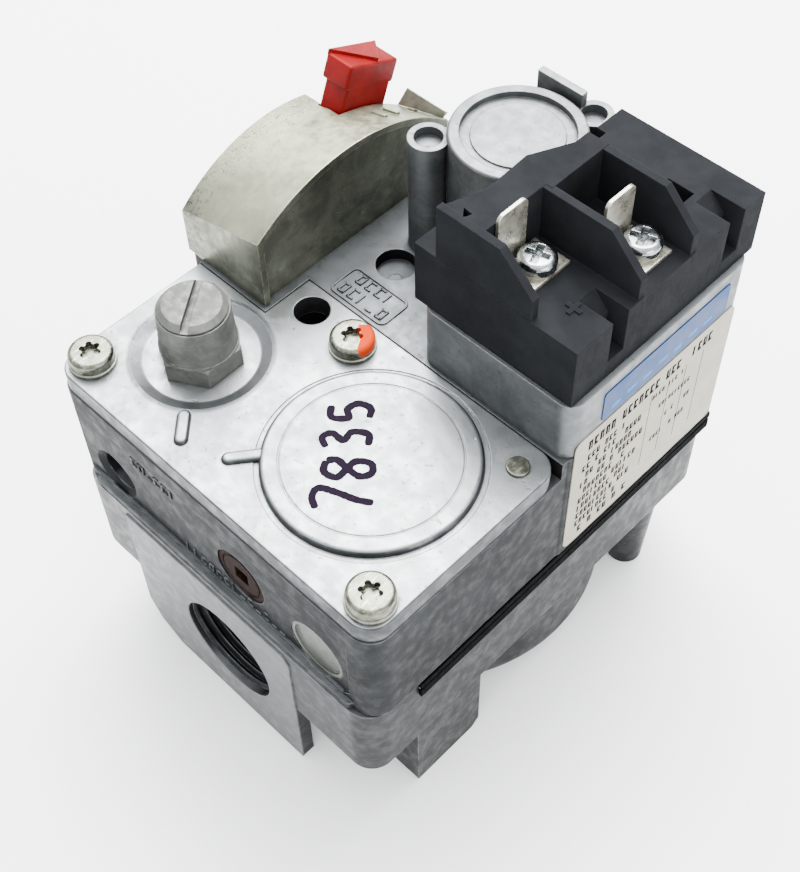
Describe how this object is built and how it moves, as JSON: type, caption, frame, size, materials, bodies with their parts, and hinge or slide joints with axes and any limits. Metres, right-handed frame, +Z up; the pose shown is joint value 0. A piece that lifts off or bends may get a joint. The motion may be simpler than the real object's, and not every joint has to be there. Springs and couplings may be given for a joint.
{
  "type": "combination gas control valve",
  "caption": "Gas control valve: castings with threaded inlet and outlet, slotted regulator tower, swinging red cock lever, magnet can and electric operator with a terminal block.",
  "frame": {"origin": "Centre of the footprint on the resting plane, the plane of the pads and feet of the lower casting.", "axes": "+Z up, towards the cover plate. +Y is the gas flow direction, from the inlet face to the outlet face. +X points to the label and operator side; the lever is on the -X side."},
  "size_m": [0.095, 0.1116, 0.1262],
  "materials": {
    "cast_alloy": "die cast, mottled oxide film",
    "cover_alloy": "die cast, brighter tumbled face",
    "arch_plating": "dulled yellowish zinc plating",
    "tower_alloy": "turned, worn edges",
    "zinc_steel": "zinc plated",
    "plain_steel": "plain ground steel",
    "bright_screw": "bright plated",
    "nickel_tab": "nickel plated brass",
    "rusty_steel": "rusted steel",
    "grey_seal": "painted sealing cup",
    "brass": "machined brass",
    "rubber": "black nitrile rubber",
    "black_plastic": "moulded phenolic with scuffs",
    "red_plastic": "moulded red plastic",
    "spring_steel": "spring wire",
    "copper_winding": "taped copper winding",
    "bobbin_plastic": "moulded nylon",
    "label_paper": "printed foil label",
    "blue_film": "blue adhesive film"
  },
  "bodies": {
    "valve_body": {"lower_body": "cast_alloy", "inlet_screen": "plain_steel", "body_gasket": "rubber", "diaphragm_ring": "plain_steel", "main_diaphragm": "rubber", "main_valve_seat": "brass", "upper_body": "cast_alloy", "tap_plug": "rusty_steel", "cup_plug": "grey_seal", "cover_plate": "cover_alloy", "cover_screws": "zinc_steel", "cover_pin": "zinc_steel", "regulator_diaphragm": "rubber", "regulator_plate": "plain_steel", "regulator_seat": "tower_alloy", "regulator_spring": "spring_steel", "servo_diaphragm": "rubber", "servo_plate": "plain_steel", "cock_cover": "arch_plating", "cock_cover_screw": "zinc_steel", "magnet_housing": "cast_alloy", "magnet_housing_screws": "zinc_steel", "safety_magnet": "plain_steel", "safety_guide": "plain_steel", "safety_spring": "spring_steel", "operator_housing": "cast_alloy", "housing_screws": "zinc_steel", "solenoid_yoke": "plain_steel", "solenoid_bobbin": "bobbin_plastic", "solenoid_coil": "copper_winding", "plunger_spring": "spring_steel", "terminal_block": "black_plastic", "terminal_plate_1": "nickel_tab", "terminal_plate_2": "nickel_tab", "body_screws": "zinc_steel", "data_label": "label_paper", "label_band": "blue_film", "main_valve_spring": "spring_steel"},
    "cock": {"cock_plug": "brass", "lever_arm": "plain_steel"},
    "lever_button": {"lever_knob": "red_plastic"},
    "cap_washer": {"regulator_cap_washer": "rubber"},
    "cap": {"regulator_cap": "tower_alloy"},
    "spring_seat": {"regulator_spring_seat": "brass"},
    "adjuster": {"regulator_adjust_screw": "brass"},
    "pilot_seal": {"pilot_adjust_seal": "rubber"},
    "pilot_screw": {"pilot_adjust_screw": "brass"},
    "washer_one": {"terminal_washer_1": "nickel_tab"},
    "screw_one": {"terminal_screw_1": "bright_screw"},
    "washer_two": {"terminal_washer_2": "nickel_tab"},
    "screw_two": {"terminal_screw_2": "bright_screw"},
    "main_valve": {"main_valve_stem": "plain_steel", "main_valve_disc": "rubber", "diaphragm_plates": "plain_steel"},
    "safety_valve": {"safety_armature": "plain_steel", "safety_disc": "rubber"},
    "plunger": {"solenoid_plunger": "plain_steel", "plunger_tip": "rubber"}
  },
  "joints": [
    {"name": "lever_swing", "type": "hinge", "parent": "valve_body", "child": "cock", "pos_m": [-0.0382, 0.0114, 0.065], "axis": [-1, 0, 0], "range_deg": [0, 33]},
    {"name": "lever_press", "type": "slide", "parent": "cock", "child": "lever_button", "axis": [0, -0.3811, -0.9245], "range_m": [0, 0.004], "stiffness_N_per_m": 400, "springref_m": -0.002},
    {"name": "regulator_cap_lift", "type": "slide", "parent": "valve_body", "child": "cap_washer", "axis": [0, 0, 1], "range_m": [0, 0.00375]},
    {"name": "regulator_cap_turn", "type": "hinge", "parent": "cap_washer", "child": "cap", "pos_m": [-0.0237, -0.0314, 0.09], "axis": [0, 0, 1], "range_deg": [0, 1080]},
    {"name": "regulator_adjust_lift", "type": "slide", "parent": "valve_body", "child": "spring_seat", "axis": [0, 0, 1], "range_m": [0, 0.002], "deforming": ["regulator_spring"]},
    {"name": "regulator_adjust_turn", "type": "hinge", "parent": "spring_seat", "child": "adjuster", "pos_m": [-0.0237, -0.0314, 0.088], "axis": [0, 0, 1], "range_deg": [0, 720]},
    {"name": "pilot_adjust_lift", "type": "slide", "parent": "valve_body", "child": "pilot_seal", "axis": [0, 0, 1], "range_m": [0, 0.0016]},
    {"name": "pilot_adjust_turn", "type": "hinge", "parent": "pilot_seal", "child": "pilot_screw", "pos_m": [-0.0157, -0.00825, 0.071], "axis": [0, 0, 1], "range_deg": [0, 720]},
    {"name": "terminal_screw_1_lift", "type": "slide", "parent": "valve_body", "child": "washer_one", "axis": [0, 0, 1], "range_m": [0, 0.0021]},
    {"name": "terminal_screw_1_turn", "type": "hinge", "parent": "washer_one", "child": "screw_one", "pos_m": [0.0276, 0.0092, 0.114], "axis": [0, 0, 1], "range_deg": [0, 1080]},
    {"name": "terminal_screw_2_lift", "type": "slide", "parent": "valve_body", "child": "washer_two", "axis": [0, 0, 1], "range_m": [0, 0.0021]},
    {"name": "terminal_screw_2_turn", "type": "hinge", "parent": "washer_two", "child": "screw_two", "pos_m": [0.0386, 0.0254, 0.114], "axis": [0, 0, 1], "range_deg": [0, 1080]},
    {"name": "main_valve_lift", "type": "slide", "parent": "valve_body", "child": "main_valve", "axis": [0, 0, 1], "range_m": [0, 0.003], "stiffness_N_per_m": 600, "springref_m": -0.006, "deforming": ["main_valve_spring", "main_diaphragm"]},
    {"name": "safety_valve_lift", "type": "slide", "parent": "valve_body", "child": "safety_valve", "axis": [0, 0, 1], "range_m": [0, 0.004], "stiffness_N_per_m": 300, "springref_m": -0.004, "deforming": ["safety_spring"]},
    {"name": "plunger_lift", "type": "slide", "parent": "valve_body", "child": "plunger", "axis": [0, 0, 1], "range_m": [0, 0.0015], "stiffness_N_per_m": 200, "springref_m": -0.003, "deforming": ["plunger_spring"]}
  ],
  "couplings": [
    {"joint": "regulator_cap_turn", "follows": "regulator_cap_lift", "rad_per_m": 5026.5},
    {"joint": "regulator_adjust_turn", "follows": "regulator_adjust_lift", "rad_per_m": 6283.2},
    {"joint": "pilot_adjust_turn", "follows": "pilot_adjust_lift", "rad_per_m": 7854},
    {"joint": "terminal_screw_1_turn", "follows": "terminal_screw_1_lift", "rad_per_m": 8976},
    {"joint": "terminal_screw_2_turn", "follows": "terminal_screw_2_lift", "rad_per_m": 8976}
  ]
}
